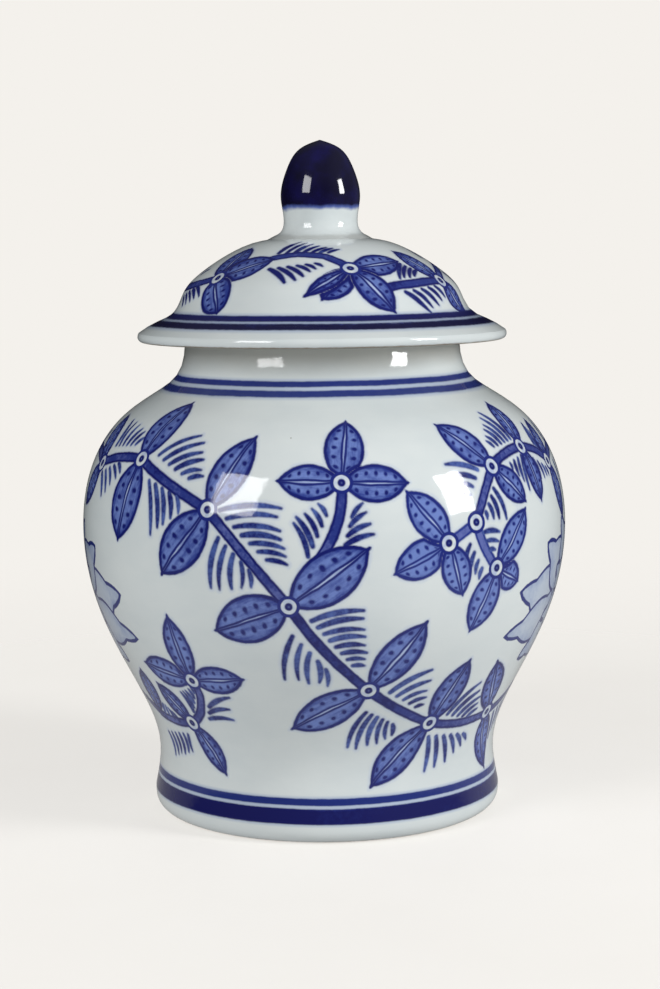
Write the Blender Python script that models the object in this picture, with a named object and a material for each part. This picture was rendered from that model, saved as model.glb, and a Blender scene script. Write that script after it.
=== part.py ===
"""Porcelain ginger jar: the vessel, its lift-off lid with a locating collar, and the bud knob luted onto the lid.

Metres, +Z up. The origin is on the ground under the centre of the foot, and everything is turned about +Z.
Outlines are lists of (radius, height) points in millimetres.
"""

import math

import bpy
import numpy as np

MM = 0.001

# Driving dimensions, in millimetres
OVERALL_HEIGHT = 200.0
BELLY_RADIUS = 72.5
BELLY_HEIGHT = 87.0
WAIST_RADIUS = 50.8
WAIST_HEIGHT = 19.0
FOOT_RADIUS = 52.3
NECK_RADIUS = 41.1
MOUTH_HEIGHT = 141.3
WALL = 4.2

BRIM_RADIUS = 55.2
BRIM_BOTTOM = 140.8
DOME_RADIUS = 42.6
CROWN_HEIGHT = 171.0
KNOB_RADIUS = 11.8
KNOB_FOOT_RADIUS = 14.2

JOINT_GAP = 0.3
COLLAR_CLEARANCE = 1.2
COLLAR_DEPTH = 10.0
COLLAR_WALL = 3.5

FOOT_EDGE_ROUND = 4.4
FOOT_RING_WIDTH = 6.0
RECESS_DEPTH = 3.0
RECESS_ROUND = 1.5
FLOOR_THICKNESS = 5.0
FLOOR_CORNER = 9.0
LIP_ROUND = 1.4
BRIM_ROUND = 1.7

WALL_PIECES = 28
JAR_SEGMENTS = 56
LID_SEGMENTS = 56
KNOB_SEGMENTS = 32


def smooth_curve(stations, pieces):
    """Points on the natural cubic spline through the stations, its parameter being the chord length."""
    stations = np.array(stations, float)
    gaps = np.linalg.norm(np.diff(stations, axis=0), axis=1)
    knots = np.concatenate([[0.0], np.cumsum(gaps)])
    slopes = np.diff(stations, axis=0) / gaps[:, None]
    count = len(stations)
    system = np.eye(count)
    bends = np.zeros((count, 2))
    for i in range(1, count - 1):
        system[i, i - 1 : i + 2] = gaps[i - 1], 2 * (gaps[i - 1] + gaps[i]), gaps[i]
        bends[i] = 6 * (slopes[i] - slopes[i - 1])
    bends = np.linalg.solve(system, bends)
    points = []
    for t in np.linspace(0.0, knots[-1], pieces + 1):
        i = min(np.searchsorted(knots, t, side="right") - 1, count - 2)
        gap = gaps[i]
        ahead = (t - knots[i]) / gap
        behind = 1 - ahead
        point = behind * stations[i] + ahead * stations[i + 1]
        point = point + ((behind**3 - behind) * bends[i] + (ahead**3 - ahead) * bends[i + 1]) * gap**2 / 6
        points.append(tuple(point))
    return points


def arc(centre, radius, start, end, pieces):
    """Points on a circle round centre, from the start angle to the end angle in degrees."""
    angles = [math.radians(start + (end - start) * i / pieces) for i in range(pieces + 1)]
    return [(centre[0] + radius * math.cos(a), centre[1] + radius * math.sin(a)) for a in angles]


def inset(points, distance):
    """The curve moved by distance to the right of its direction of travel, which is the clay's side."""
    points = np.array(points)
    along = np.gradient(points, axis=0)
    along /= np.linalg.norm(along, axis=1)[:, None]
    return [tuple(p + distance * np.array([t[1], -t[0]])) for p, t in zip(points, along)]


def material(name, colour, roughness):
    """A plain porcelain finish."""
    made = bpy.data.materials.new(name)
    made.use_nodes = True
    shader = made.node_tree.nodes["Principled BSDF"]
    shader.inputs["Base Color"].default_value = (*colour, 1.0)
    shader.inputs["Roughness"].default_value = roughness
    shader.inputs["Metallic"].default_value = 0.0
    return made


def turned(name, outline, segments, finish):
    """An object turned about Z. The outline runs from axis to axis, down its outer side, so the shape is closed."""
    mesh = bpy.data.meshes.new(name)
    points = [(radius * MM, 0.0, height * MM) for radius, height in outline]
    edges = [(i, i + 1) for i in range(len(points) - 1)]
    mesh.from_pydata(points, edges, [])
    mesh.materials.append(finish)
    piece = bpy.data.objects.new(name, mesh)
    bpy.context.scene.collection.objects.link(piece)
    screw = piece.modifiers.new("Turned", "SCREW")
    screw.axis = "Z"
    screw.angle = math.tau
    screw.steps = segments
    screw.render_steps = segments
    screw.use_merge_vertices = True
    screw.merge_threshold = 0.00001
    screw.use_smooth_shade = True
    return piece


def jar_wall(pieces):
    """The vessel's outer wall in that many pieces, from the foot of its lip down to the side of its foot."""
    stations = [
        (NECK_RADIUS, MOUTH_HEIGHT - LIP_ROUND),
        (NECK_RADIUS + 0.4, 136.5),
        (NECK_RADIUS + 1.2, 133.2),
        (NECK_RADIUS + 2.5, 130.9),
        (NECK_RADIUS + 5.2, 128.3),
        (NECK_RADIUS + 9.6, 125.4),
        (60.2, 118.6),
        (68.6, 106.5),
        (BELLY_RADIUS, BELLY_HEIGHT),
        (67.7, 60.0),
        (58.2, 40.0),
        (WAIST_RADIUS, WAIST_HEIGHT),
        (FOOT_RADIUS, FOOT_EDGE_ROUND + 2.0),
    ]
    return smooth_curve(stations, pieces)


def jar_outline():
    """Inside floor, inner wall, lip, outer wall, foot ring and the shallow recess under the floor."""
    outside = jar_wall(WALL_PIECES)
    floor_height = RECESS_DEPTH + FLOOR_THICKNESS
    mouth_radius = NECK_RADIUS - WALL
    inside = [p for p in inset(jar_wall(WALL_PIECES // 2), WALL) if p[1] > floor_height + FLOOR_CORNER]
    inside = inside[1:][::-1]
    corner_centre = (inside[0][0] - FLOOR_CORNER, floor_height + FLOOR_CORNER)
    floor = [(0.0, floor_height)] + arc(corner_centre, FLOOR_CORNER, -90, 0, 4)
    lip_height = MOUTH_HEIGHT - LIP_ROUND
    inner_lip = arc((mouth_radius + LIP_ROUND, lip_height), LIP_ROUND, 180, 90, 2)
    outer_lip = arc((NECK_RADIUS - LIP_ROUND, lip_height), LIP_ROUND, 90, 0, 2)
    edge = arc((FOOT_RADIUS - FOOT_EDGE_ROUND, FOOT_EDGE_ROUND), FOOT_EDGE_ROUND, 0, -90, 5)
    ring_inside = FOOT_RADIUS - FOOT_EDGE_ROUND - FOOT_RING_WIDTH
    recess = [(ring_inside, 0.0)]
    recess += arc((ring_inside - RECESS_ROUND, RECESS_DEPTH - RECESS_ROUND), RECESS_ROUND, 0, 90, 2)
    recess += [(0.0, RECESS_DEPTH)]
    return floor + inside + inner_lip + outer_lip + outside[1:] + edge + recess


def lid_outline():
    """Dome, concave sweep to the brim, brim edge, seat on the lip, collar inside the mouth and dome hollow."""
    seat = MOUTH_HEIGHT + JOINT_GAP
    collar_radius = NECK_RADIUS - WALL - COLLAR_CLEARANCE
    collar_inside = collar_radius - COLLAR_WALL
    collar_round = COLLAR_WALL / 2
    dome = smooth_curve(
        [
            (KNOB_FOOT_RADIUS, CROWN_HEIGHT),
            (19.3, 170.1),
            (28.0, 166.4),
            (35.5, 161.5),
            (41.0, 155.8),
            (DOME_RADIUS, 152.2),
            (44.5, 149.4),
            (50.0, 146.5),
            (BRIM_RADIUS - 1.1, BRIM_BOTTOM + 3.4),
        ],
        18,
    )
    brim = arc((BRIM_RADIUS - BRIM_ROUND, BRIM_BOTTOM + BRIM_ROUND), BRIM_ROUND, 40, -90, 4)
    under = [(NECK_RADIUS + 2.0, seat), (collar_radius + 0.6, seat), (collar_radius, seat - 0.6)]
    collar_bottom = seat - COLLAR_DEPTH
    collar_end = arc((collar_radius - collar_round, collar_bottom + collar_round), collar_round, 0, -180, 4)
    hollow = smooth_curve(
        [
            (collar_inside, seat - 2.0),
            (34.6, 147.0),
            (36.6, 152.5),
            (31.5, 160.5),
            (19.0, 165.8),
            (0.0, CROWN_HEIGHT - WALL),
        ],
        10,
    )
    return [(0.0, CROWN_HEIGHT)] + dome[:-1] + brim + under + collar_end + hollow


def knob_outline():
    """Pointed bud, straight neck and the flare that is luted to the crown of the lid."""
    bottom = CROWN_HEIGHT + JOINT_GAP
    bud = smooth_curve(
        [
            (0.0, OVERALL_HEIGHT),
            (6.6, 196.9),
            (10.1, 191.0),
            (KNOB_RADIUS, 183.0),
            (11.0, 176.2),
            (11.7, 173.3),
            (KNOB_FOOT_RADIUS, bottom + 0.2),
        ],
        18,
    )
    return bud + [(KNOB_FOOT_RADIUS, bottom), (0.0, bottom)]


def main():
    for old in list(bpy.data.objects):
        bpy.data.objects.remove(old)
    glaze = material("white_glaze", (0.72, 0.76, 0.75), 0.12)
    cobalt = material("cobalt_glaze", (0.02, 0.02, 0.12), 0.10)
    turned("jar_body", jar_outline(), JAR_SEGMENTS, glaze)
    lid_pivot = bpy.data.objects.new("lid_axis", None)
    lid_pivot.location = (0.0, 0.0, MOUTH_HEIGHT * MM)
    bpy.context.scene.collection.objects.link(lid_pivot)
    bpy.context.view_layer.update()
    lid = turned("lid", lid_outline(), LID_SEGMENTS, glaze)
    knob = turned("lid_knob", knob_outline(), KNOB_SEGMENTS, cobalt)
    for piece in (lid, knob):
        piece.parent = lid_pivot
        piece.matrix_parent_inverse = lid_pivot.matrix_world.inverted()


main()
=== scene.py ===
"""Looks of the lidded ginger jar: porcelain, cobalt painting under a glossy glaze, floor, light and camera.

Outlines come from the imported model. Painting is in millimetres. Angles are degrees round the jar, 0 at the
front and +90 at the right. Directions on the surface are degrees from rightwards, turning upwards.
"""

import math
import random

import bpy
import numpy as np
from mathutils import Matrix, Vector


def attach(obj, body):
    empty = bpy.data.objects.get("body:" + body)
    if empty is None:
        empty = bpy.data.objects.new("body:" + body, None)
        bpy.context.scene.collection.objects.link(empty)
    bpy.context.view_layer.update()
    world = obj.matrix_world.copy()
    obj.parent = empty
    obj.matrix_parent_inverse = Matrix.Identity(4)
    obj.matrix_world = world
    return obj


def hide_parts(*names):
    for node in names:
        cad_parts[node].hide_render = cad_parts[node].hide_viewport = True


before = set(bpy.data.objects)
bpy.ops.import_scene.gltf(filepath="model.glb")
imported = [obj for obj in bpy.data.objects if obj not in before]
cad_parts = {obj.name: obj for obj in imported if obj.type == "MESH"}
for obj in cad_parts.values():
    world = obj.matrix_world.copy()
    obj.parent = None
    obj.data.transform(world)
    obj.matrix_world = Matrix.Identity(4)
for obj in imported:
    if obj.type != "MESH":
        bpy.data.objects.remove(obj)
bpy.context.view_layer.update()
MM = 0.001

# Heights where the turned shapes change, in millimetres
MOUTH = 141.3
LIP_ROUND = 1.4
FOOT_SIDE = 6.4
CROWN = 171.0
CROWN_RADIUS = 14.2
BRIM_TOP = 143.6
KNOB_SKIRT = 173.0
# Where the slip that joins the knob to the crown runs out over the dome
SKIRT = [(13.9, 171.75), (15.2, 171.0), (17.2, 170.2)]

# Mesh: cells this long at first, each halved up to this many times where the painting needs it
CELL = 3.2
HALVINGS = 3
JAR_AROUND = 144
LID_AROUND = 112
KNOB_AROUND = 96

# Brushwork, in millimetres
STEM_WIDTH = 3.1
DISC_RADIUS = 3.15
DISC_DOT = 1.15
HATCH_WIDTH = 1.75
HATCH_BOW = 0.07
HATCH_TAPER = 0.35
LOTUS_LINE = 1.05
LOTUS_SCALLOPS = 3.0
LOTUS_NOTCH = 1.5
PETAL_FULLNESS = 1.15

# How far, in millimetres, a painted edge may stray between mesh points
FLATNESS = 0.03

# ---------- turned shapes


def outline_of(node):
    """The (radius, height) corners of a turned node, from its upper end and down its outer side."""
    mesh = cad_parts[node].data
    places = {}
    for vertex in mesh.vertices:
        x, y, z = vertex.co / MM
        if abs(y) < 0.001 and x > -0.001:
            places[vertex.index] = (round(abs(x), 3), round(z, 3))
    links = {place: set() for place in places.values()}
    for edge in mesh.edges:
        a, b = (places.get(index) for index in edge.vertices)
        if a and b and a != b:
            links[a].add(b)
            links[b].add(a)
    ends = [place for place, others in links.items() if len(others) == 1]
    walk = [max(ends, key=lambda place: place[1])]
    while True:
        ahead = [place for place in links[walk[-1]] if place not in walk]
        if not ahead:
            break
        walk.append(min(ahead, key=lambda place: math.dist(place, walk[-1])))
    flat_ends = [(0.0, walk[0][1])], [(0.0, walk[-1][1])]
    before, after = (end if walk[i][0] > 0.001 else [] for i, end in zip((0, -1), flat_ends))
    return np.array(before + walk + after)


class Curve:
    """The natural cubic spline through (radius, height) points, read by its length from the first one."""

    def __init__(self, points):
        points = np.array(points, float)
        gaps = np.linalg.norm(np.diff(points, axis=0), axis=1)
        slopes = np.diff(points, axis=0) / gaps[:, None]
        system = np.eye(len(points))
        bends = np.zeros((len(points), 2))
        for i in range(1, len(points) - 1):
            system[i, i - 1 : i + 2] = gaps[i - 1], 2 * (gaps[i - 1] + gaps[i]), gaps[i]
            bends[i] = 6 * (slopes[i] - slopes[i - 1])
        self.points = points
        self.gaps = gaps
        self.knots = np.concatenate([[0.0], np.cumsum(gaps)])
        self.bends = np.linalg.solve(system, bends)
        self.length = self.knots[-1]

    def at(self, lengths):
        """The points at these lengths."""
        lengths = np.clip(lengths, 0.0, self.length)
        i = np.clip(np.searchsorted(self.knots, lengths, side="right") - 1, 0, len(self.gaps) - 1)
        gap = self.gaps[i][:, None]
        ahead = (lengths - self.knots[i])[:, None] / gap
        behind = 1 - ahead
        straight = behind * self.points[i] + ahead * self.points[i + 1]
        bent = (behind**3 - behind) * self.bends[i] + (ahead**3 - ahead) * self.bends[i + 1]
        return straight + bent * gap**2 / 6

    def normals(self, lengths):
        """The (radial, upward) unit normals at these lengths, to the left of the direction of travel."""
        along = self.at(lengths + 0.05) - self.at(lengths - 0.05)
        along /= np.linalg.norm(along, axis=1)[:, None]
        return np.stack([-along[:, 1], along[:, 0]], axis=1)


def softened(points, reach, passes=3):
    """The outline with its corners cut again and again, so that they round over like fired clay."""
    points = [np.array(point, float) for point in points]
    for _ in range(passes):
        cut = [points[0]]
        for start, end in zip(points, points[1:]):
            share = min(0.25, reach / np.linalg.norm(end - start))
            cut += [start + (end - start) * share, end - (end - start) * share]
        points = cut + [points[-1]]
        reach /= 2
    return np.array(points)


def spread(points, longest):
    """The outline with its long stretches cut into pieces no longer than this."""
    finer = [points[0]]
    for start, end in zip(points, points[1:]):
        pieces = max(1, math.ceil(np.linalg.norm(end - start) / longest))
        finer += [start + (end - start) * i / pieces for i in range(1, pieces + 1)]
    return np.array(finer)


def outline_normals(points):
    """The (radial, upward) unit normals of an outline's points, to the left of the direction of travel."""
    along = np.diff(points, axis=0)
    along /= np.linalg.norm(along, axis=1)[:, None] ** 2
    sideways = np.stack([-along[:, 1], along[:, 0]], axis=1)
    normals = np.zeros_like(points)
    normals[:-1] += sideways
    normals[1:] += sideways
    return normals / np.linalg.norm(normals, axis=1)[:, None]


def around(radii, heights, degrees):
    """Points in metres at these radii and heights and at these angles from the front."""
    turn = np.radians(degrees)
    return np.stack([radii * np.sin(turn), -radii * np.cos(turn), heights + 0 * turn], axis=-1) * MM


# ---------- the painted wall

# What the brush leaves at each point: millimetres inside the nearest edge, unless the name says otherwise
FIELDS = {
    "petal": -3.0,
    "across": 3.0,
    "along": 0.0,
    "stem": -3.0,
    "hatch": -3.0,
    "disc": -3.0,
    "lotus": -3.0,
    "lotus_line": -3.0,
    "ink": 0.8,
}
# The stretch of each field that shows, where the mesh has to follow it closely
SHOWN = {
    "petal": (-0.6, 1.7),
    "stem": (-0.6, 1.1),
    "hatch": (-0.6, 2.0),
    "disc": (-0.6, 4.0),
    "lotus": (-0.5, 0.6),
    "lotus_line": (-0.45, 2.0),
}


class Wall:
    """A turned wall with a fine lattice over it, and at every crossing one value of each painted field."""

    def __init__(self, outline, columns):
        self.curve = Curve(outline)
        self.fine = 2**HALVINGS
        self.blocks = round(self.curve.length / CELL)
        self.around = columns
        self.rows = self.blocks * self.fine
        self.columns = columns * self.fine
        self.down = np.linspace(0.0, self.curve.length, self.rows + 1)
        self.points = self.curve.at(self.down)
        self.normals = self.curve.normals(self.down)
        self.degrees = np.arange(self.columns) * 360.0 / self.columns
        shape = (self.rows + 1, self.columns)
        self.fields = {name: np.full(shape, value) for name, value in FIELDS.items()}
        self.top_value = np.full(shape, -3.0)

    def level(self, height):
        """How far down the wall a height is."""
        return float(np.interp(-height, -self.points[:, 1], self.down))

    def radius(self, down):
        return float(np.interp(down, self.down, self.points[:, 0]))

    def bearing(self, start, end):
        """The direction and length from one (angle, height) place to another."""
        down = [self.level(place[1]) for place in (start, end)]
        turn = math.radians((end[0] - start[0] + 180) % 360 - 180)
        right = turn * (self.radius(down[0]) + self.radius(down[1])) / 2
        up = down[0] - down[1]
        return math.degrees(math.atan2(up, right)), math.hypot(right, up)

    def near(self, angle, height, reach):
        """The crossings within reach of a place, and how far right and up from it each one is."""
        down = self.level(height)
        radius = self.radius(down)
        rows = np.flatnonzero(abs(self.down - down) < reach)
        radii = self.points[rows, 0]
        half = int(min(self.columns / 2 - 1, reach / math.radians(360 / self.columns) / radii.min()))
        middle = round(angle * self.columns / 360)
        columns = np.arange(middle - half, middle + half + 1) % self.columns
        turn = np.radians((self.degrees[columns] - angle + 180) % 360 - 180)
        right = turn[None, :] * (radii[:, None] + radius) / 2
        up = (down - self.down[rows])[:, None] + 0 * right
        return np.ix_(rows, columns), right, up

    def lay(self, area, field, values, ink):
        """Adds a stroke to a field, and its strength of ink where it lies on top."""
        self.fields[field][area] = np.maximum(self.fields[field][area], values)
        on_top = values > self.top_value[area]
        self.top_value[area] = np.where(on_top, values, self.top_value[area])
        self.fields["ink"][area] = np.where(on_top, ink, self.fields["ink"][area])

    def splits(self):
        """For each halving, coarsest last, which cells of the lattice are cut in four."""
        need = np.zeros((self.rows + 1, self.columns))
        pitch_down = self.down[1]
        pitch_round = np.radians(360 / self.columns) * self.points[:, :1]
        for name, (low, high) in SHOWN.items():
            values = self.fields[name]
            shown = (values > low) & (values < high)
            watched = [name, "across", "along"] if name == "petal" else [name]
            for other in watched:
                values = self.fields[other] * (10.0 if other == "along" else 1.0)
                round_bend = abs(np.roll(values, 1, 1) + np.roll(values, -1, 1) - 2 * values)
                down_bend = np.zeros_like(values)
                down_bend[1:-1] = abs(values[:-2] + values[2:] - 2 * values[1:-1])
                bend = np.maximum(round_bend / pitch_round**2, down_bend / pitch_down**2)
                slack = 0.35 if other != name else 1.0
                need = np.maximum(need, np.where(shown, bend * slack, 0.0))
        need[: self.fine + 1] = 0.0
        need[-self.fine - 1 :] = 0.0
        need = np.maximum(need[:-1], need[1:])
        need = np.maximum(need, np.roll(need, -1, 1))
        cut = [np.zeros((self.rows, self.columns), bool)]
        for halving in range(1, HALVINGS + 1):
            size = 2**halving
            rows, columns = self.rows // size, self.columns // size
            worst = need.reshape(rows, size, columns, size).max(axis=(1, 3))
            wanted = worst * (size * pitch_down) ** 2 / 8 > FLATNESS
            finer = cut[-1]
            if halving > 1:
                grown = finer | np.roll(finer, 1, 1) | np.roll(finer, -1, 1)
                grown[1:] |= finer[:-1]
                grown[:-1] |= finer[1:]
                wanted |= grown.reshape(rows, 2, columns, 2).any(axis=(1, 3))
            cut.append(wanted)
        return cut

    def cells(self):
        """The faces, as quads and triangles of lattice numbers, turning anticlockwise seen from outside."""
        cut = self.splits()
        quads, triangles = [], []
        for halving in range(HALVINGS, -1, -1):
            size = 2**halving
            whole = ~cut[halving]
            if halving < HALVINGS:
                whole &= cut[halving + 1].repeat(2, 0).repeat(2, 1)
            row, column = np.nonzero(whole)
            split = cut[halving]
            above = np.vstack([np.zeros_like(split[:1]), split[:-1]])[row, column]
            below = np.vstack([split[1:], np.zeros_like(split[:1])])[row, column]
            left = np.roll(split, 1, 1)[row, column]
            right = np.roll(split, -1, 1)[row, column]
            row, column = row * size, column * size
            corners = [(0, 0), (size, 0), (size, size), (0, size)]
            corner = [self.number(row + r, column + c) for r, c in corners]
            plain = ~(above | below | left | right)
            quads.append(np.stack(corner, 1)[plain])
            if halving == 0:
                continue
            half = size // 2
            centre = self.number(row + half, column + half)
            middles = [(half, 0), (size, half), (half, size), (0, half)]
            for side, busy in enumerate((left, below, right, above)):
                start, end = corner[side], corner[(side + 1) % 4]
                middle = self.number(row + middles[side][0], column + middles[side][1])
                simple = ~plain & ~busy
                busy = ~plain & busy
                triangles.append(np.stack([centre, start, end], 1)[simple])
                triangles.append(np.stack([centre, start, middle], 1)[busy])
                triangles.append(np.stack([centre, middle, end], 1)[busy])
        return np.vstack(quads), np.vstack(triangles)

    def number(self, row, column):
        return row * self.columns + column % self.columns


def turned_piece(name, above, wall, below):
    """A mesh turned from the outline above the wall, the wall itself and the outline below it."""
    quads, triangles = wall.cells()
    used, numbers = np.unique(np.concatenate([quads.ravel(), triangles.ravel()]), return_inverse=True)
    row, column = used // wall.columns, used % wall.columns
    places = [around(wall.points[row, 0], wall.points[row, 1], wall.degrees[column])]
    normals = [around(wall.normals[row, 0], wall.normals[row, 1], wall.degrees[column]) / MM]
    faces = numbers[: quads.size].reshape(-1, 4).tolist() + numbers[quads.size :].reshape(-1, 3).tolist()
    step = wall.fine
    rims = [np.searchsorted(used, wall.number(r, np.arange(0, wall.columns, step))) for r in (0, wall.rows)]
    degrees = wall.degrees[::step]
    count = len(used)
    for outline, rim, downwards in ((above, rims[0], False), (below, rims[1], True)):
        slopes = outline_normals(outline)
        if not downwards:
            outline, slopes = outline[::-1], slopes[::-1]
        last = rim
        for (radius, height), slope in zip(outline[1:], slopes[1:]):
            ring = [count] * wall.around if radius < 0.01 else list(range(count, count + wall.around))
            turns = degrees[: len(set(ring))]
            places.append(around(np.full(len(turns), radius), height, turns))
            normals.append(around(np.full(len(turns), slope[0]), slope[1], turns) / MM)
            count += len(turns)
            for i in range(wall.around):
                j = (i + 1) % wall.around
                upper, lower = (last, ring) if downwards else (ring, last)
                corners = [upper[i], lower[i], lower[j], upper[j]]
                faces.append([int(corner) for corner in dict.fromkeys(corners)])
            last = ring
    places, normals = np.vstack(places), np.vstack(normals)
    piece = mesh_piece(name, places, faces, normals)
    for field, empty in FIELDS.items():
        values = np.full(len(places), empty, np.float32)
        values[: len(used)] = wall.fields[field][row, column]
        piece.data.attributes.new(field, "FLOAT", "POINT").data.foreach_set("value", values)
    return piece


def mesh_piece(name, places, faces, normals):
    """An object with a smooth mesh whose shading follows the given normals."""
    mesh = bpy.data.meshes.new(name)
    mesh.from_pydata(places.tolist(), [], faces)
    mesh.shade_smooth()
    normals = normals / np.linalg.norm(normals, axis=1)[:, None]
    mesh.normals_split_custom_set_from_vertices(normals.tolist())
    piece = bpy.data.objects.new(name, mesh)
    bpy.context.scene.collection.objects.link(piece)
    return piece


# ---------- brush strokes


def stroke(wall, field, place, direction, length, width, sag=0.0, taper=0.0, ink=1.0):
    """A brush stroke from a place: it bows to its left by sag, and thins towards its far end by the taper."""
    area, right, up = wall.near(*place, length + 4.0)
    turn = math.radians(direction)
    along = right * math.cos(turn) + up * math.sin(turn)
    across = up * math.cos(turn) - right * math.sin(turn)
    share = np.clip(along / length, 0.0, 1.0)
    across = across - sag * 4 * share * (1 - share)
    beyond = np.maximum(np.maximum(-along, along - length), 0.0)
    half = width / 2 * (1 - taper * abs(2 * share - 0.8) ** 2)
    wall.lay(area, field, half - np.hypot(across, beyond), ink)


def stem(wall, start, end, sag=0.0, ink=1.0):
    """A stem from one (angle, height) place to another."""
    direction, length = wall.bearing(start, end)
    stroke(wall, "stem", start, direction, length, STEM_WIDTH, sag, 0.0, ink)


def fan(wall, count, first, last, ink, rng):
    """A row of curved fine strokes, from the first to the last (angle, height, direction, length)."""
    first, last = np.array(first, float), np.array(last, float)
    for i in range(count):
        angle, height, direction, length = first + (last - first) * i / (count - 1)
        bow = math.copysign(HATCH_BOW, math.cos(math.radians(direction))) * length
        direction += rng.uniform(-2.5, 2.5)
        length *= rng.uniform(0.93, 1.07)
        width = HATCH_WIDTH * rng.uniform(0.9, 1.1) * min(1.0, 0.75 + length / 40)
        strength = ink * rng.uniform(0.75, 1.05)
        stroke(wall, "hatch", (angle, height), direction, length, width, bow, HATCH_TAPER, strength)


def petal(wall, angle, height, direction, length, width, ink):
    """A pointed petal that grows from a place. Its sides are arcs, and it lies over earlier petals."""
    area, right, up = wall.near(angle, height, length + 4.0)
    turn = math.radians(direction)
    along = right * math.cos(turn) + up * math.sin(turn)
    across = up * math.cos(turn) - right * math.sin(turn)
    width *= PETAL_FULLNESS
    body = 0.97 * length
    arc = (body**2 + width**2) / (4 * width)
    inside = arc - np.hypot(along - body / 2, abs(across) + arc - width / 2)
    ahead = length - along
    spike = np.where(ahead < 0.4 * length, np.minimum(0.25 + 0.28 * ahead, ahead) - abs(across), -3.0)
    inside = np.maximum(inside, spike)
    fields = wall.fields
    older = np.minimum(fields["petal"][area], np.where(inside > 0, -3.0, -inside))
    mine = inside > older
    fields["petal"][area] = np.where(mine, np.maximum(inside, -3.0), older)
    fields["across"][area] = np.where(mine, across, fields["across"][area])
    fields["along"][area] = np.where(mine, along / length, fields["along"][area])
    on_top = inside > np.maximum(wall.top_value[area], -3.0)
    wall.top_value[area] = np.where(on_top, inside, wall.top_value[area])
    fields["ink"][area] = np.where(on_top | (inside > 0), ink, fields["ink"][area])


def disc(wall, angle, height):
    """The round heart of a flower."""
    area, right, up = wall.near(angle, height, DISC_RADIUS + 4.0)
    values = DISC_RADIUS - np.hypot(right, up)
    wall.fields["disc"][area] = np.maximum(wall.fields["disc"][area], values)


def lotus_petal(wall, place, direction, length, width, offset=0.0):
    """A pale outlined petal with a scalloped edge and a sharp tip, over whatever of the blossom is there."""
    area, right, up = wall.near(*place, length + offset + 4.0)
    turn = math.radians(direction)
    along = right * math.cos(turn) + up * math.sin(turn) - offset
    across = up * math.cos(turn) - right * math.sin(turn)
    arc = (length**2 + width**2) / (4 * width)
    inside = arc - np.hypot(along - length / 2, abs(across) + arc - width / 2)
    scallop = 1 - abs(np.sin(math.pi * (along / length * LOTUS_SCALLOPS + 0.5)))
    inside = inside - LOTUS_NOTCH * scallop * (along < 0.95 * length)
    fields = wall.fields
    line = LOTUS_LINE / 2 - abs(inside)
    covered = inside > 0
    fields["lotus_line"][area] = np.where(covered, line, np.maximum(line, fields["lotus_line"][area]))
    fields["lotus"][area] = np.where(covered, inside, np.maximum(inside, fields["lotus"][area]))


# Most places at the front were measured in a photograph, turned into angles and heights by a helper
# script and rounded. Petal widths, strengths of ink and places out of its sight were chosen.
#
# Flowers: angle, height, strength of ink, then each petal's direction, length and width
BODY_FLOWERS = {
    "O": (-70.0, 107.0, 1.0, [(116, 19.0, 8.5), (237, 16.5, 8.0)]),
    "A": (-50.0, 110.0, 0.95, [(79, 23.0, 11.0), (259, 25.0, 11.5)]),
    "B": (-26.5, 98.0, 0.9, [(64, 25.0, 9.8), (231, 25.0, 11.6)]),
    "C": (-8.0, 72.0, 0.9, [(200, 24.0, 12.5), (36, 28.0, 12.5)]),
    "D": (4.0, 105.5, 0.8, [(83, 20.5, 10.0), (178, 18.0, 9.0), (358, 19.0, 9.5)]),
    "E": (28.0, 88.0, 0.3, [(205, 18.5, 9.5), (289, 16.5, 8.5), (128, 19.5, 9.0)]),
    "G": (43.5, 107.5, 0.8, [(132, 20.5, 9.5), (315, 16.5, 8.0)]),
    "H": (58.5, 111.5, 0.95, [(81, 18.0, 7.5), (277, 17.5, 7.0)]),
    "I": (41.5, 79.5, 0.4, [(333, 11.5, 8.0), (249, 20.0, 9.5), (49, 21.0, 8.5)]),
    "J": (11.0, 46.5, 0.75, [(56, 26.5, 10.0), (212, 26.0, 10.5)]),
    "K": (32.0, 34.0, 0.95, [(71, 23.0, 9.0), (228, 25.5, 9.5)]),
    "L": (59.0, 33.0, 1.0, [(114, 22.0, 8.5), (289, 21.0, 8.5)]),
    "M": (-37.5, 47.5, 0.7, [(170, 20.0, 8.8), (95, 22.0, 8.2), (8, 18.5, 8.4)]),
    "N": (-45.0, 33.0, 0.85, [(302, 18.5, 6.8), (125, 16.0, 6.8)]),
    "P": (71.5, 106.0, 1.0, [(75, 15.0, 6.5), (287, 19.5, 7.5)]),
    "leaf": (-62.5, 33.3, 0.9, [(82, 16.5, 7.5)]),
    "bud": (35.5, 93.0, 0.6, []),
}
# Stems: from and to, each a flower's name or a place, with the bow to the left and the strength of ink
BODY_STEMS = [
    ("O", "A", 1.2, 1.0),
    ("A", "B", 0.0, 1.2),
    ("B", "C", 0.6, 0.95),
    ("C", "J", -1.2, 1.7),
    ("J", "K", -1.0, 1.4),
    ("K", "L", -1.5, 1.0),
    ("L", (75.0, 38.5), -1.0, 1.0),
    ((75.0, 38.5), (117.5, 33.3), 4.0, 1.0),
    ("D", (-2.4, 83.3), 2.3, 0.8),
    ("E", "bud", 0.0, 0.4),
    ("bud", "G", 0.6, 0.8),
    ("G", "H", 1.2, 0.9),
    ("H", "P", 1.2, 1.0),
    ("P", (110.0, 107.0), 5.0, 1.0),
    ("bud", "I", -1.2, 0.45),
    ("M", (-37.5, 40.5), 0.8, 0.85),
    ((-37.5, 40.5), "N", 1.2, 0.85),
    ("N", "leaf", 1.0, 0.9),
]
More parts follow.
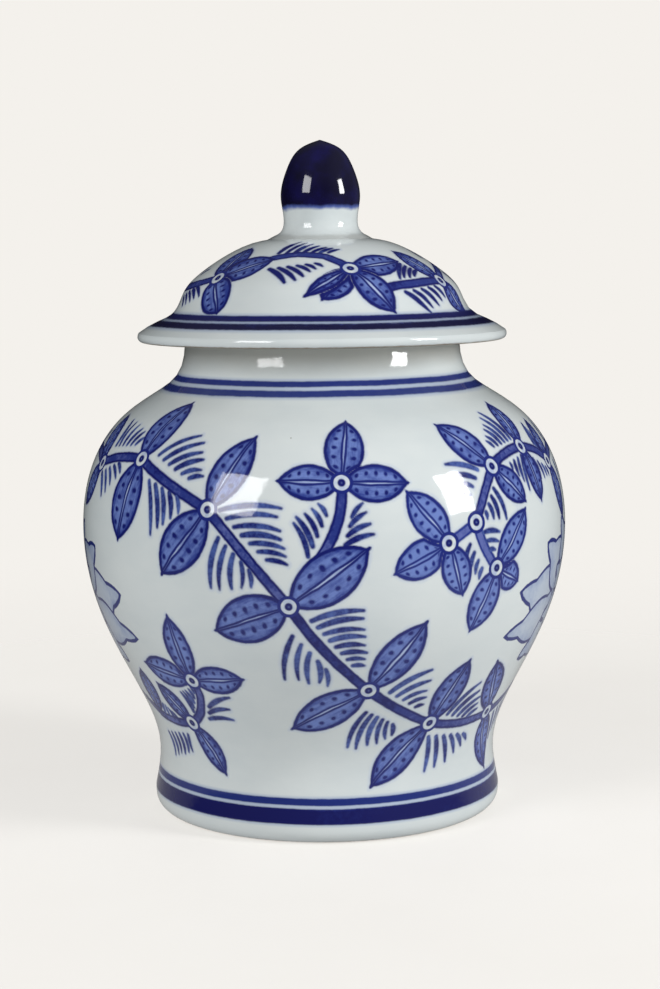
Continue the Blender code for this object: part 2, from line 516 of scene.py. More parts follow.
# Fans of fine strokes: how many, then the first and the last one's angle, height, direction and length
BODY_FANS = [
    (6, (-66, 112.5, 101, 9), (-55.5, 113.5, 46, 4)),
    (6, (-44, 111.5, 32, 14.5), (-32.5, 106, 9, 4.5)),
    (5, (-44.5, 104.5, -80, 14.5), (-35, 101, -74, 5)),
    (5, (-67.5, 104.5, -59, 8), (-59.5, 108, -40, 4)),
    (7, (-23.5, 98, 5, 16.5), (-12.5, 85, -14, 5.5)),
    (5, (-23.5, 90.5, -103, 14), (-16.5, 82, -85, 4.5)),
    (5, (0.5, 97, 122, 4), (-3.5, 86, 115, 10.5)),
    (4, (6, 96.5, 49, 4.5), (4.5, 89, 18, 8)),
    (6, (55.5, 114, 115, 11), (47, 112.5, 135, 2.5)),
    (4, (38.5, 107, 170, 10.5), (34.5, 100.5, 165, 2)),
    (4, (42, 101.5, -68, 9), (38.5, 95.5, -77, 2)),
    (4, (56.5, 109, -99, 9.5), (50.5, 107.5, -88, 2)),
    (3, (37.5, 90, -6, 6.5), (39, 85, -6, 2.5)),
    (4, (33.5, 87, -105, 5.5), (37, 80, -104, 3)),
    (4, (62, 107.5, -80, 6), (68, 104.5, -70, 2.5)),
    (4, (67, 111.5, 73, 7), (69.5, 109.5, 75, 4.5)),
    (5, (-7.5, 63.5, -103, 14), (0, 53.5, -85, 5.5)),
    (8, (-3, 68, 11, 14), (6.5, 54.5, -3, 3.5)),
    (3, (-35, 39.5, 29, 9), (-36.5, 35.5, 3, 8)),
    (5, (-42, 37, 108, 7), (-38.5, 43.5, 107, 2)),
    (6, (-62.5, 27, -77, 7), (-49.5, 28.5, -91, 5.5)),
    (4, (-58.5, 34, 69, 3.5), (-51.5, 32.5, 125, 3.5)),
    (5, (17, 45.5, 29, 12.5), (25.5, 40, 14, 2.5)),
    (6, (11, 39.5, -113, 13.5), (19.5, 35, -85, 4)),
    (5, (38, 36, 45, 12.5), (47.5, 33.5, 30, 4)),
    (6, (33, 29.5, -90, 11.5), (48.5, 28, -47, 3.5)),
    (6, (66, 31.5, -70, 10), (80, 36, -80, 4)),
    (5, (82, 41.5, 60, 5), (96, 41, 50, 3)),
    (6, (80, 111, 80, 8), (98, 112.5, 60, 4)),
    (5, (78, 105, -80, 7), (92, 106, -60, 3.5)),
]
# The lid's flowers, stems and fans, written the same way
LID_FLOWERS = {
    "La": (-53.0, 160.0, 1.15, [(98, 16.5, 10.2), (30, 18.5, 9.8), (301, 14.4, 10.0)]),
    "Lb": (14.0, 162.5, 1.1, [(232, 15.4, 8.0), (218, 17.8, 4.6), (10, 18.2, 9.0), (301, 19.4, 8.0)]),
    "Lc": (62.5, 158.5, 1.15, [(115, 17.0, 8.8), (295, 13.5, 8.0)]),
    "Ld": (122.0, 160.5, 0.9, [(40, 16.0, 8.8), (215, 16.5, 8.8), (290, 14.0, 8.2)]),
    "Le": (180.0, 161.0, 0.9, [(25, 16.5, 8.8), (200, 16.0, 8.8), (275, 16.0, 8.6)]),
    "Lf": (-115.0, 160.0, 0.9, [(100, 14.0, 8.2), (255, 14.5, 8.4), (340, 17.0, 8.8)]),
}
LID_STEMS = [
    ("La", (-27.0, 165.6), 0.6, 1.1),
    ((-27.0, 165.6), (-13.0, 166.5), 0.2, 1.1),
    ((-13.0, 166.5), (2.0, 165.9), 0.2, 1.1),
    ((2.0, 165.9), "Lb", 0.4, 1.1),
    ("Lb", (26.0, 156.8), 0.0, 1.2),
    ((26.0, 156.8), (43.0, 158.0), 0.3, 1.6),
    ((43.0, 158.0), "Lc", 0.3, 1.4),
    ("Lc", (92.0, 164.0), 1.0, 0.9),
    ((92.0, 164.0), "Ld", 1.0, 0.9),
    ("Ld", (150.0, 164.5), -1.0, 0.9),
    ((150.0, 164.5), "Le", 1.0, 0.9),
    ("Le", (-148.0, 157.0), -1.0, 0.9),
    ((-148.0, 157.0), "Lf", -1.0, 0.9),
    ("Lf", (-84.0, 157.0), -1.2, 0.9),
    ((-84.0, 157.0), "La", -0.6, 0.9),
]
LID_FANS = [
    (7, (-26.5, 166.9, 64, 8.5), (4.5, 166.9, 30, 4)),
    (6, (-25.5, 162.5, -42, 9), (-3, 164, -35, 2.5)),
    (5, (-65, 157.5, -36, 5.5), (-77.5, 154.5, -38, 4.5)),
    (4, (44, 163.5, -128, 8), (50, 161.5, -138, 4)),
    (5, (35.5, 155.6, -43, 9.0), (54, 157, -50, 4.5)),
    (6, (76, 165, 70, 6), (104, 166, 40, 3.5)),
    (5, (78, 160.5, -60, 7), (100, 161, -60, 3)),
    (6, (134, 166, 70, 7), (166, 166.5, 50, 3)),
    (5, (138, 160.5, -60, 7), (160, 161.5, -60, 3)),
    (5, (-150, 160.5, 80, 7), (-128, 161.5, 60, 3)),
    (5, (-152, 154, -60, 6), (-132, 155, -60, 3)),
    (5, (-102, 162, 80, 6), (-76, 161, 50, 3)),
    (5, (-100, 154.5, -60, 6), (-84, 153.5, -60, 3)),
]
# The pale blossoms at the jar's two sides: direction, length and width of each petal, the hindmost first
BLOSSOM_PLACE = (88.0, 64.0)
BLOSSOM_OUTER = [(9, 45, 18), (171, 45, 18), (-8, 46, 15), (188, 46, 15), (32, 37, 17), (148, 37, 17)]
BLOSSOM_OUTER += [(-30, 33, 16), (210, 33, 16), (55, 31, 16), (125, 31, 16), (90, 30, 16), (-58, 24, 15)]
BLOSSOM_OUTER += [(238, 24, 15), (-90, 22, 15)]
BLOSSOM_INNER = (9, 23.0, 13.0)
BLOSSOM_HEART = (7, 13.0, 9.0)
# The round petal in its middle: length, width and the offset that centres it
BLOSSOM_BUD = (8.0, 7.5, -4.0)
# Strength of ink in the fine strokes
BODY_FAN_INK = 0.9
LID_FAN_INK = 1.4


def paint(wall, flowers, stems, fans, fan_ink, turn, rng):
    """A spray of flowers, its stems first, turned round the jar by turn degrees."""

    def spot(place):
        angle, height = flowers[place][:2] if isinstance(place, str) else place
        return angle + turn, height

    for start, end, sag, ink in stems:
        stem(wall, spot(start), spot(end), sag, ink)
    for count, first, last in fans:
        first, last = (first[0] + turn, *first[1:]), (last[0] + turn, *last[1:])
        fan(wall, count, first, last, fan_ink, rng)
    for angle, height, ink, petals in flowers.values():
        for direction, length, width in petals:
            petal(wall, angle + turn, height, direction, length, width, ink)
    for angle, height, ink, petals in flowers.values():
        if len(petals) != 1:
            disc(wall, angle + turn, height)


def blossom(wall, place):
    """A many-petalled blossom, built from its outermost petals in to its heart."""
    for direction, length, width in BLOSSOM_OUTER:
        lotus_petal(wall, place, direction, length, width)
    for count, length, width in (BLOSSOM_INNER, BLOSSOM_HEART):
        for i in range(count):
            lotus_petal(wall, place, 90 + 360 * (i + 0.5) / count, length, width)
    length, width, offset = BLOSSOM_BUD
    lotus_petal(wall, place, 0.0, length, width, offset)


# ---------- materials


def srgb(red, green, blue):
    """A colour given as 0 to 255 screen values, as the linear RGBA that shaders take."""
    linear = []
    for value in (red, green, blue):
        value /= 255
        linear.append(value / 12.92 if value <= 0.04045 else ((value + 0.055) / 1.055) ** 2.4)
    return (*linear, 1.0)


GLAZE = srgb(226, 232, 231)
GLAZE_COOL = srgb(214, 222, 223)
# Glaze that runs thinner by dry clay, made darker and warmer as painted shade beneath the lid's brim
GLAZE_THIN_AND_SHADE = srgb(200, 194, 178)
BARE_CLAY = srgb(158, 146, 128)
# Iron specks in the glaze, and the colour of the painted shade at the knob's foot
SPECK_AND_SHADE = srgb(120, 112, 100)
DARK_BLUE = srgb(19, 25, 104)
LINE_BLUE = srgb(30, 42, 124)
WASH_DARK = srgb(44, 60, 142)
WASH_LIGHT = srgb(114, 136, 202)
HATCH_PALE = srgb(86, 110, 180)
STEM_BLUE = srgb(42, 56, 134)
STEM_PALE = srgb(100, 112, 178)
SLIT_BLUE = srgb(178, 192, 222)
BAND_BLEED = srgb(146, 166, 204)
RING_BLUE = srgb(36, 50, 122)
RING_DARK = srgb(25, 27, 92)
LOTUS_WASH = srgb(184, 196, 214)
LOTUS_DEEP = srgb(126, 146, 192)
LOTUS_BLUE = srgb(32, 44, 120)
RING_NAVY = srgb(17, 15, 66)
KNOB_NAVY = srgb(12, 9, 40)
KNOB_BLUE = srgb(20, 16, 78)
KNOB_BLEED = srgb(84, 102, 170)

GLAZE_IOR = 1.55
# Lines laid on the wheel: lower height, upper height and colour
JAR_BANDS = [
    (129.75, 131.3, RING_BLUE),
    (127.1, 128.8, RING_BLUE),
    (11.4, 13.4, RING_BLUE),
    (6.1, 10.5, RING_DARK),
]
LID_BANDS = [(148.0, 149.6, RING_DARK), (145.85, 147.5, RING_NAVY)]
# Heights above or below which the clay is dry, and where the knob turns navy
DRY_LIP = 140.7
DRY_FOOT = 0.5
DRY_SEAT = 141.25
NEVER = 900.0
NAVY_EDGE = 180.0
# How strongly blue bleeds into the glaze round the strokes and the bands
HALO = 0.45
BAND_HALO = 0.6
# How wide, in millimetres, the glaze thins next to dry clay, darkened there as painted shade beneath the
# lid's brim, and how much of its colour it loses
THIN_AND_SHADE_REACH = 9.0
THIN_AND_SHADE_SHARE = 0.6
# The scale of the brush streaks, and how far one petal stretches along them
STREAK_SCALE = 0.9
STREAK_STRETCH = 4.0
# Dots along a petal, and how far apart they are in millimetres
DOTS = 7.0
DOT_GAP = 3.1


class Graph:
    """A material whose nodes are written as sums on sockets. Lengths are in millimetres."""

    def __init__(self, name):
        self.material = bpy.data.materials.new(name)
        self.material.use_nodes = True
        self.tree = self.material.node_tree
        self.shader = self.tree.nodes["Principled BSDF"]
        self.place = self.tree.nodes.new("ShaderNodeTexCoord").outputs["Object"]
        parts = self.node("ShaderNodeSeparateXYZ", self.place)
        self.height = self.times(parts.outputs["Z"], 1 / MM)

    def node(self, kind, *inputs, **settings):
        made = self.tree.nodes.new(kind)
        for setting, value in settings.items():
            setattr(made, setting, value)
        for socket, value in zip(made.inputs, inputs):
            self.feed(socket, value)
        return made

    def feed(self, socket, value):
        if isinstance(value, bpy.types.NodeSocket):
            self.tree.links.new(value, socket)
        else:
            socket.default_value = value

    def math(self, operation, *values):
        return self.node("ShaderNodeMath", *values, operation=operation).outputs[0]

    def plus(self, a, b):
        return self.math("ADD", a, b)

    def minus(self, a, b):
        return self.math("SUBTRACT", a, b)

    def times(self, a, b):
        return self.math("MULTIPLY", a, b)

    def size(self, a):
        return self.math("ABSOLUTE", a)

    def most(self, *values):
        """The largest of these."""
        result = values[0]
        for value in values[1:]:
            result = self.math("MAXIMUM", result, value)
        return result

    def all_of(self, *values):
        """Where every one of these is on."""
        result = values[0]
        for value in values[1:]:
            result = self.times(result, value)
        return result

    def over(self, value, low, high):
        """0 where value is at low, 1 at high, with a soft rise between. Low may be the larger one."""
        limits = (value, low, high, 0.0, 1.0)
        made = self.node("ShaderNodeMapRange", *limits, interpolation_type="SMOOTHSTEP")
        return made.outputs["Result"]

    def between(self, value, low, high, soft):
        """1 where value lies between low and high, with soft ends."""
        rise = self.over(value, low - soft, low + soft)
        fall = self.over(value, high + soft, high - soft)
        return self.times(rise, fall)

    def brushed(self, name):
        return self.node("ShaderNodeAttribute", attribute_name=name).outputs["Fac"]

    def noise(self, size, amount=1.0, detail=2.0, stretch=(1.0, 1.0, 1.0)):
        """Smooth variation of about -amount to amount, with features of about this size."""
        mapping = self.node("ShaderNodeMapping", self.place)
        mapping.inputs["Scale"].default_value = stretch
        made = self.node("ShaderNodeTexNoise", mapping.outputs[0])
        made.inputs["Scale"].default_value = 1 / (size * MM)
        made.inputs["Detail"].default_value = detail
        return self.times(self.minus(made.outputs[0], 0.5), 4 * amount)

    def streaks(self, across, along, seed):
        """Smooth variation of about -1 to 1 in a stroke's own places, another for each seed."""
        place = self.node("ShaderNodeCombineXYZ", across, along, seed)
        made = self.node("ShaderNodeTexNoise", place.outputs[0])
        made.inputs["Scale"].default_value = STREAK_SCALE
        made.inputs["Detail"].default_value = 2.0
        return self.times(self.minus(made.outputs[0], 0.5), 4.0)

    def mix(self, share, a, b):
        made = self.tree.nodes.new("ShaderNodeMix")
        made.data_type = "RGBA"
        self.feed(made.inputs[0], share)
        self.feed(made.inputs[6], a)
        self.feed(made.inputs[7], b)
        return made.outputs[2]

    def specks(self, size, radius, share):
        """Small spots, one to a cell of this size in this share of the cells."""
        made = self.node("ShaderNodeTexVoronoi", self.place)
        made.inputs["Scale"].default_value = 1 / (size * MM)
        kept = self.node("ShaderNodeSeparateColor", made.outputs["Color"]).outputs[0]
        spot = self.over(made.outputs["Distance"], radius * 1.3 / size, radius * 0.7 / size)
        return self.times(spot, self.over(kept, share, share - 0.02))

    def finish(self, colour, roughness, relief):
        """Links the colour, the roughness and a relief in millimetres to the shader."""
        self.feed(self.shader.inputs["Base Color"], colour)
        self.feed(self.shader.inputs["Roughness"], roughness)
        self.shader.inputs["IOR"].default_value = GLAZE_IOR
        bump = self.tree.nodes.new("ShaderNodeBump")
        bump.inputs["Strength"].default_value = 1.0
        bump.inputs["Distance"].default_value = MM
        self.feed(bump.inputs["Height"], relief)
        self.feed(self.shader.inputs["Normal"], bump.outputs[0])
        return self.material


def glaze_base(g):
    """The bare glaze: a cool grey-white that varies a little, with a few pinholes."""
    tone = g.plus(0.45, g.plus(g.noise(38.0, 0.35), g.noise(9.0, 0.12, stretch=(1.0, 1.0, 2.2))))
    colour = g.mix(g.over(tone, 0.0, 1.0), GLAZE, GLAZE_COOL)
    return g.mix(g.times(g.specks(11.0, 0.22, 0.3), 0.6), colour, SPECK_AND_SHADE)


def glaze_finish(g, colour, bare):
    """The gloss of fired glaze, or dry clay where bare is on."""
    colour = g.mix(bare, colour, BARE_CLAY)
    roughness = g.plus(0.075, g.noise(14.0, 0.02))
    roughness = g.plus(roughness, g.times(bare, 0.6))
    relief = g.plus(g.noise(15.0, 0.014, 1.0), g.noise(2.2, 0.005, 1.0))
    relief = g.plus(relief, g.times(g.specks(11.0, 0.22, 0.3), -0.05))
    relief = g.plus(relief, g.times(bare, g.noise(0.5, 0.03)))
    return g.finish(colour, roughness, relief)


def painted_petals(g, colour, ink, wobble):
    """A wash with a dark edge, a pale slit between two ribs, a row of dots each side and a dark tip."""
    depth = g.plus(g.brushed("petal"), g.times(wobble, 0.16))
    side = g.plus(g.brushed("across"), g.noise(9.0, 0.3))
    across = g.size(side)
    along = g.brushed("along")
    streaks = g.streaks(side, g.times(along, STREAK_STRETCH), g.times(ink, 20.0))
    pooled = g.plus(g.plus(g.noise(6.0, 0.55), g.noise(1.2, 0.4, 3.0)), g.times(ink, 1.5))
    pooled = g.plus(g.plus(pooled, g.over(depth, 2.6, 0.8)), g.times(streaks, 0.8))
    wash = g.mix(g.over(pooled, 0.3, 3.1), WASH_LIGHT, WASH_DARK)
    line = g.mix(g.over(g.plus(ink, g.noise(4.0, 0.3)), 0.2, 1.2), LINE_BLUE, DARK_BLUE)
    slit = g.times(g.over(along, 0.16, 0.42), g.over(along, 0.88, 0.55))
    edge = g.times(slit, g.plus(0.3, g.noise(14.0, 0.16)))
    pale = g.times(g.over(g.minus(edge, across), -0.12, 0.28), g.over(g.noise(9.0, 1.0), -0.9, 0.3))
    wash = g.mix(pale, wash, SLIT_BLUE)
    rib = g.over(g.size(g.minus(across, g.plus(edge, 0.3))), 0.5, 0.15)
    middle = g.times(g.minus(across, g.plus(depth, 0.3)), 0.5)
    beat = g.times(g.minus(g.math("FRACT", g.times(along, DOTS)), 0.5), DOT_GAP)
    dot = g.over(g.math("SQRT", g.plus(g.times(middle, middle), g.times(beat, beat))), 0.95, 0.3)
    dot = g.all_of(dot, g.over(along, 0.13, 0.16), g.over(along, 0.87, 0.84), g.over(depth, 1.0, 1.3))
    tip = g.over(along, 0.86, 0.97)
    border = g.over(g.plus(depth, g.noise(3.0, 0.15)), 1.25, 0.7)
    marks = g.most(g.times(rib, 0.95), dot, border, tip)
    petals = g.mix(marks, wash, line)
    return g.mix(g.over(depth, -0.36, 0.22), colour, petals)


def painted_stems(g, colour, ink, wobble):
    depth = g.plus(g.brushed("stem"), g.times(wobble, 0.16))
    tone = g.plus(g.plus(ink, g.noise(9.0, 0.5)), g.noise(1.2, 0.35, 3.0))
    wash = g.mix(g.over(tone, 0.1, 1.2), STEM_PALE, STEM_BLUE)
    wash = g.mix(g.over(tone, 1.25, 1.9), wash, DARK_BLUE)
    wash = g.mix(g.over(depth, 0.95, 0.45), wash, g.mix(g.over(ink, 0.3, 0.9), WASH_DARK, DARK_BLUE))
    return g.mix(g.over(depth, -0.36, 0.24), colour, wash)


def painted_hatching(g, colour, ink, wobble):
    depth = g.plus(g.brushed("hatch"), g.times(wobble, 0.09))
    tone = g.plus(ink, g.plus(g.noise(5.0, 0.45), g.noise(1.0, 0.3)))
    strokes = g.mix(g.over(tone, -0.1, 1.35), HATCH_PALE, DARK_BLUE)
    return g.mix(g.over(depth, -0.38, 0.3), colour, strokes)


def painted_discs(g, colour, wobble, plain):
    depth = g.plus(g.brushed("disc"), g.times(wobble, 0.1))
    heart = g.mix(g.over(g.noise(3.0), -0.8, 0.9), plain, SLIT_BLUE)
    heart = g.mix(g.over(depth, 1.15, 0.8), heart, LINE_BLUE)
    rim = DISC_RADIUS - DISC_DOT
    heart = g.mix(g.over(depth, rim - 0.2, rim + 0.25), heart, DARK_BLUE)
    heart = g.mix(g.times(g.over(depth, DISC_RADIUS - 0.5, DISC_RADIUS), 0.6), heart, WASH_LIGHT)
    return g.mix(g.over(depth, -0.16, 0.16), colour, heart)


def painted_lotus(g, colour, wobble):
    depth = g.brushed("lotus")
    tone = g.plus(g.noise(10.0, 0.5), g.noise(1.6, 0.25))
    wash = g.mix(g.over(g.plus(tone, g.times(depth, -0.16)), -1.0, 0.6), LOTUS_WASH, LOTUS_DEEP)
    colour = g.mix(g.times(g.over(depth, -0.12, 0.16), 0.85), colour, wash)
    line = g.plus(g.brushed("lotus_line"), g.times(wobble, 0.07))
    return g.mix(g.over(line, -0.16, 0.14), colour, LOTUS_BLUE)


def bled(g, colour, bands):
    """The faint blue that seeps into the glaze round every stroke and along every band."""
    nearest = g.most(g.brushed("petal"), g.brushed("stem"), g.brushed("hatch"))
    nearest = g.plus(nearest, g.noise(2.5, 0.3))
    colour = g.mix(g.times(g.over(nearest, -1.3, 0.1), HALO), colour, SLIT_BLUE)
    for low, high, _ in bands:
        near = g.between(g.height, low - 0.5, high + 0.5, 0.6)
        colour = g.mix(g.times(near, BAND_HALO), colour, BAND_BLEED)
    return colour


def painted_bands(g, colour, bands):
    """Lines laid on the wheel: each a lower and an upper height and a colour."""
    for low, high, blue in bands:
        height = g.plus(g.height, g.plus(g.noise(22.0, 0.1), g.noise(2.0, 0.05)))
        band = g.between(height, low, high, 0.24)
        pooled = g.plus(g.plus(g.noise(16.0, 0.7), g.noise(1.4, 0.5, 3.0)), g.over(height, high - 0.9, high))
        tone = g.mix(g.over(pooled, 0.1, 3.2), blue, WASH_DARK)
        colour = g.mix(band, colour, tone)
    return colour


def painted_porcelain(name, bands, bare_above, bare_below):
    """White glaze with the painting under it, and dry clay above one height and below another.

    The glaze is warmer just below the upper height, where it runs thinner, and darker there as painted shade
    beneath the lid's brim.
    """
    g = Graph(name)
    ink = g.brushed("ink")
    wobble = g.plus(g.noise(4.0, 0.7), g.noise(1.3, 0.4))
    # Painted shade: just below the upper height the glaze turns darker and warmer, for thinner glaze and for
    # the lid's brim shading the neck
    thin_and_shade = g.over(g.plus(g.height, g.noise(12.0, 0.6)), bare_above - THIN_AND_SHADE_REACH, bare_above - 1.0)
    plain = g.mix(g.times(thin_and_shade, THIN_AND_SHADE_SHARE), glaze_base(g), GLAZE_THIN_AND_SHADE)
    colour = painted_lotus(g, plain, wobble)
    colour = bled(g, colour, bands)
    colour = painted_stems(g, colour, ink, wobble)
    colour = painted_hatching(g, colour, ink, wobble)
    colour = painted_petals(g, colour, ink, wobble)
    colour = painted_discs(g, colour, wobble, plain)
    colour = painted_bands(g, colour, bands)
    rough_height = g.plus(g.height, g.noise(3.0, 0.12))
    dry_top = g.over(rough_height, bare_above - 0.2, bare_above + 0.2)
    dry_foot = g.over(rough_height, bare_below + 0.2, bare_below - 0.2)
    return glaze_finish(g, colour, g.plus(dry_top, dry_foot))


def knob_glaze(name):
    """Navy over the bud, ending in an uneven soft edge, and white below, with painted shade at its foot."""
    g = Graph(name)
    edge = g.plus(g.height, g.plus(g.noise(9.0, 0.7), g.noise(1.5, 0.12)))
    colour = g.mix(g.over(edge, NAVY_EDGE - 1.0, NAVY_EDGE + 0.3), glaze_base(g), KNOB_BLEED)
    navy = g.mix(g.over(g.noise(8.0, 1.0, 3.0), -0.6, 1.2), KNOB_NAVY, KNOB_BLUE)
    colour = g.mix(g.over(edge, NAVY_EDGE, NAVY_EDGE + 1.2), colour, navy)
    # Painted shade: the knob darkens towards its foot, where it meets the dome
    joint_shade = g.over(g.height, CROWN + 1.6, CROWN + 0.4)
    colour = g.mix(g.times(joint_shade, 0.35), colour, SPECK_AND_SHADE)
    return glaze_finish(g, colour, 0.0)


# ---------- the pieces


def jar_piece():
    outline = outline_of("jar_body")
    peak = int(np.argmax(outline[:, 1]))
    while outline[peak + 1, 1] >= MOUTH - LIP_ROUND - 0.01:
        peak += 1
    foot = int(np.flatnonzero(outline[:, 1] >= FOOT_SIDE - 0.01)[-1])
    wall = Wall(outline[peak : foot + 1], JAR_AROUND)
    rng = random.Random(11)
    for turn in (0.0, 180.0):
        blossom(wall, (BLOSSOM_PLACE[0] + turn, BLOSSOM_PLACE[1]))
        paint(wall, BODY_FLOWERS, BODY_STEMS, BODY_FANS, BODY_FAN_INK, turn, rng)
    above = spread(softened(outline[: peak + 1], 0.5), 6.0)
    below = spread(softened(outline[foot:], 0.5), 6.0)
    piece = turned_piece("jar_body_painted", above, wall, below)
    piece.data.materials.append(painted_porcelain("jar_glaze", JAR_BANDS, DRY_LIP, DRY_FOOT))
    return piece


def lid_piece():
    outline = outline_of("lid")
    first = int(np.flatnonzero(outline[:, 0] >= CROWN_RADIUS - 0.01)[0])
    last = first
    while outline[last + 1, 1] >= BRIM_TOP - 0.02:
        last += 1
    wall = Wall(outline[first : last + 1], LID_AROUND)
    rng = random.Random(5)
    paint(wall, LID_FLOWERS, LID_STEMS, LID_FANS, LID_FAN_INK, 0.0, rng)
    above = spread(outline[: first + 1], 6.0)
    below = spread(softened(outline[last:], 0.4), 6.0)
    piece = turned_piece("lid_painted", above, wall, below)
    piece.data.materials.append(painted_porcelain("lid_glaze", LID_BANDS, NEVER, DRY_SEAT))
    return piece


def knob_piece():
    outline = outline_of("lid_knob")
    corner = int(np.argmax(outline[:, 0]))
    bud = Curve(np.vstack([outline[:corner], SKIRT]))
    lengths = np.linspace(0.0, bud.length, 64)
    points = bud.at(lengths)
    slopes = bud.normals(lengths)
    degrees = np.arange(KNOB_AROUND) * 360.0 / KNOB_AROUND
    places, normals, faces = [], [], []
    last = None
    for (radius, height), slope in zip(points, slopes):
        skirt = float(np.clip((KNOB_SKIRT - height) / (KNOB_SKIRT - CROWN), 0.0, 1.0))
        turn = np.radians(degrees)
        uneven = 0.35 * np.sin(3 * turn + 0.7) + 0.2 * np.sin(7 * turn + 2.0)
        radii = radius + skirt * uneven if last else np.array([radius])
        start = sum(len(ring) for ring in places)
        ring = list(range(start, start + len(radii)))
        places.append(around(radii, height, degrees[: len(radii)]))
        normals.append(around(np.full(len(radii), slope[0]), slope[1], degrees[: len(radii)]) / MM)
        if last:
            upper = last * KNOB_AROUND if len(last) == 1 else last
            for i in range(KNOB_AROUND):
                j = (i + 1) % KNOB_AROUND
                faces.append(list(dict.fromkeys([upper[i], ring[i], ring[j], upper[j]])))
        last = ring
    faces.append(last[::-1])
    piece = mesh_piece("lid_knob_painted", np.vstack(places), faces, np.vstack(normals))
    piece.data.materials.append(knob_glaze("knob_glaze"))
    return piece


def place(piece, body, node, slot):
    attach(piece, body)
    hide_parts(node)


place(jar_piece(), "jar", "jar_body", "white_glaze")
place(lid_piece(), "lid", "lid", "white_glaze")
place(knob_piece(), "lid", "lid_knob", "cobalt_glaze")

# ---------- floor, light and camera

FLOOR_RADIUS = 0.9
FLOOR_SHOWS = 0.5
FLOOR_GLOW = 0.26
BACKGROUND = srgb(244, 241, 236)
FLOOR_WHITE = srgb(250, 248, 244)
ROOM_TINT = srgb(238, 240, 242)
# Strength of the room as the glaze reflects it: behind, in front, overhead and at the right
ROOM_DARK = 0.015
ROOM_FRONT = 0.08
ROOM_ABOVE = 0.1
ROOM_RIGHT = 0.12
# Strength of the even light on the jar, from above and from below
AMBIENT = 0.195
AMBIENT_BELOW = 0.54
# Camera: metres, degrees of downward tilt and of roll, and lens in millimetres
CAMERA_PLACE = (0.0, -0.640, 0.1714)
CAMERA_PITCH = 6.89
CAMERA_ROLL = -0.67
LENS = 77.6
SHIFT_X = 0.0062
# Where the softboxes point, in metres above the floor
LIT_HEIGHT = 0.1


def studio_floor():
    """A round pale floor that fades into the background before its edge."""
    mesh = bpy.data.meshes.new("studio_floor")
    rings = [0.05, 0.12, 0.2, 0.3, 0.45, 0.65, FLOOR_RADIUS]
    count = 64
    places = [(0.0, 0.0, 0.0)]
    faces = []
    for ring, radius in enumerate(rings):
        for i in range(count):
            turn = math.tau * i / count
            places.append((radius * math.cos(turn), radius * math.sin(turn), 0.0))
            j = (i + 1) % count
            if ring == 0:
                faces.append((0, 1 + i, 1 + j))
            else:
                inner, outer = 1 + (ring - 1) * count, 1 + ring * count
                faces.append((inner + i, outer + i, outer + j, inner + j))
    mesh.from_pydata(places, [], faces)
    floor = bpy.data.objects.new("studio_floor", mesh)
    bpy.context.scene.collection.objects.link(floor)
    g = Graph("studio_floor")
    far = g.node("ShaderNodeVectorMath", g.place, operation="LENGTH").outputs["Value"]
    g.feed(g.shader.inputs["Base Color"], g.mix(g.over(g.noise(60.0), -2.0, 2.0), FLOOR_WHITE, BACKGROUND))
    g.shader.inputs["Roughness"].default_value = 0.85
    g.feed(g.shader.inputs["Alpha"], g.times(g.over(far, 0.55, 0.06), FLOOR_SHOWS))
    mesh.materials.append(g.material)
    g.shader.inputs["Emission Color"].default_value = BACKGROUND
    g.shader.inputs["Emission Strength"].default_value = FLOOR_GLOW
    floor.visible_diffuse = False


def softbox(name, azimuth, elevation, distance, width, height, power, in_glaze=True):
    """A rectangular light facing the middle of the jar, azimuth degrees from the front to the right."""
    light = bpy.data.lights.new(name, "AREA")
    light.shape = "RECTANGLE"
    light.size = width
    light.size_y = height
    light.energy = power
    lamp = bpy.data.objects.new(name, light)
    turn, rise = math.radians(azimuth), math.radians(elevation)
    towards = Vector((math.sin(turn) * math.cos(rise), -math.cos(turn) * math.cos(rise), math.sin(rise)))
    lamp.location = Vector((0.0, 0.0, LIT_HEIGHT)) + towards * distance
    lamp.rotation_euler = towards.to_track_quat("Z", "Y").to_euler()
    lamp.visible_camera = False
    lamp.visible_glossy = in_glaze
    bpy.context.scene.collection.objects.link(lamp)


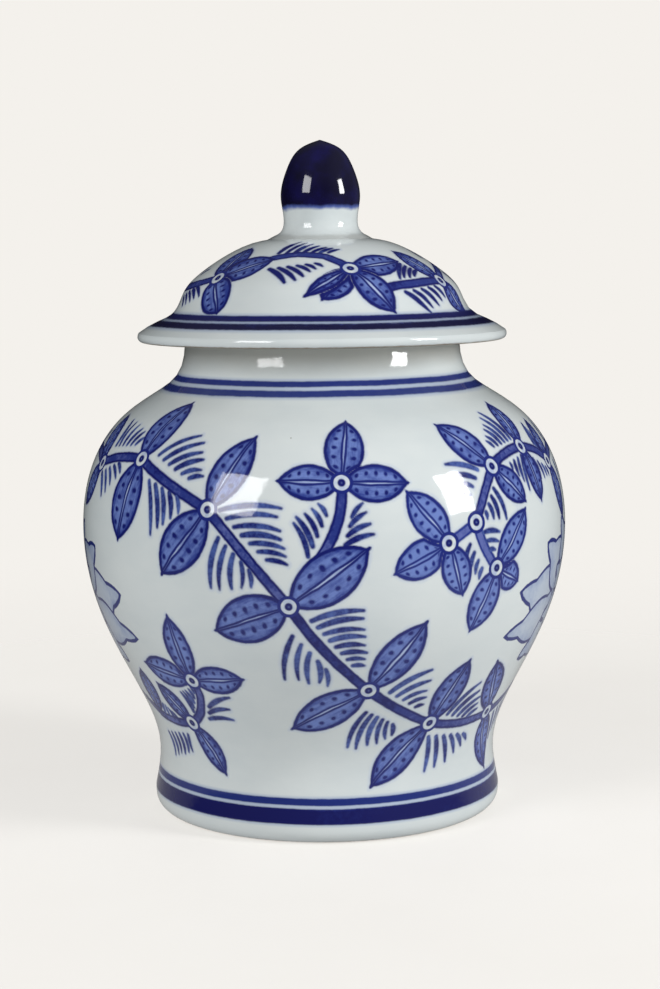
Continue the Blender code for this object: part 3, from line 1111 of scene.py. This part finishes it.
def surroundings():
    """The pale background, an even light round the jar, and the dimmer room that shows in its glaze."""
    world = bpy.data.worlds.new("studio")
    bpy.context.scene.world = world
    world.use_nodes = True
    tree = world.node_tree
    tree.nodes.clear()
    facing = tree.nodes.new("ShaderNodeTexCoord")
    parts = tree.nodes.new("ShaderNodeSeparateXYZ")
    tree.links.new(facing.outputs["Generated"], parts.inputs[0])
    rays = tree.nodes.new("ShaderNodeLightPath")

    def ramp(axis, start, end, start_glow, end_glow):
        """A glow that changes along an axis of the room, from where it starts to where it ends."""
        made = tree.nodes.new("ShaderNodeMapRange")
        made.interpolation_type = "SMOOTHSTEP"
        tree.links.new(parts.outputs[axis], made.inputs["Value"])
        for socket, value in zip(list(made.inputs)[1:5], (start, end, start_glow, end_glow)):
            socket.default_value = value
        return made.outputs[0]

    reflected = ramp("Y", 0.6, -0.7, ROOM_DARK, ROOM_FRONT)
    for more in (ramp("Z", 0.2, 0.9, 0.0, ROOM_ABOVE), ramp("X", 0.2, 0.9, 0.0, ROOM_RIGHT)):
        both = tree.nodes.new("ShaderNodeMath")
        tree.links.new(reflected, both.inputs[0])
        tree.links.new(more, both.inputs[1])
        reflected = both.outputs[0]
    chosen = tree.nodes.new("ShaderNodeMix")
    tree.links.new(rays.outputs["Is Glossy Ray"], chosen.inputs[0])
    tree.links.new(ramp("Z", 0.1, -0.4, AMBIENT, AMBIENT_BELOW), chosen.inputs[2])
    tree.links.new(reflected, chosen.inputs[3])
    room = tree.nodes.new("ShaderNodeBackground")
    room.inputs["Color"].default_value = ROOM_TINT
    tree.links.new(chosen.outputs[0], room.inputs["Strength"])
    direct = tree.nodes.new("ShaderNodeBackground")
    direct.inputs["Color"].default_value = BACKGROUND
    mixed = tree.nodes.new("ShaderNodeMixShader")
    tree.links.new(rays.outputs["Is Camera Ray"], mixed.inputs[0])
    tree.links.new(room.outputs[0], mixed.inputs[1])
    tree.links.new(direct.outputs[0], mixed.inputs[2])
    output = tree.nodes.new("ShaderNodeOutputWorld")
    tree.links.new(mixed.outputs[0], output.inputs[0])


def camera():
    """Level with the crown of the lid, looking slightly down."""
    lens = bpy.data.cameras.new("camera")
    lens.lens = LENS
    lens.shift_x = SHIFT_X
    lens.dof.use_dof = False
    made = bpy.data.objects.new("camera", lens)
    down = Matrix.Rotation(math.radians(90.0 - CAMERA_PITCH), 4, "X")
    roll = Matrix.Rotation(math.radians(CAMERA_ROLL), 4, "Z")
    made.matrix_world = Matrix.Translation(CAMERA_PLACE) @ down @ roll
    bpy.context.scene.collection.objects.link(made)
    bpy.context.scene.camera = made


studio_floor()
softbox("softbox_left", -43.0, 25.0, 1.2, 0.46, 0.57, 6.7)
softbox("softbox_right", 66.0, 20.0, 1.2, 0.29, 0.50, 9.6)
softbox("fill_front", 25.0, 3.0, 1.3, 0.7, 0.2, 1.2, in_glaze=False)
softbox("softbox_back", 180.0, 12.0, 1.4, 0.8, 0.5, 6.0, in_glaze=False)
surroundings()
camera()
bpy.context.scene.view_settings.view_transform = "Standard"
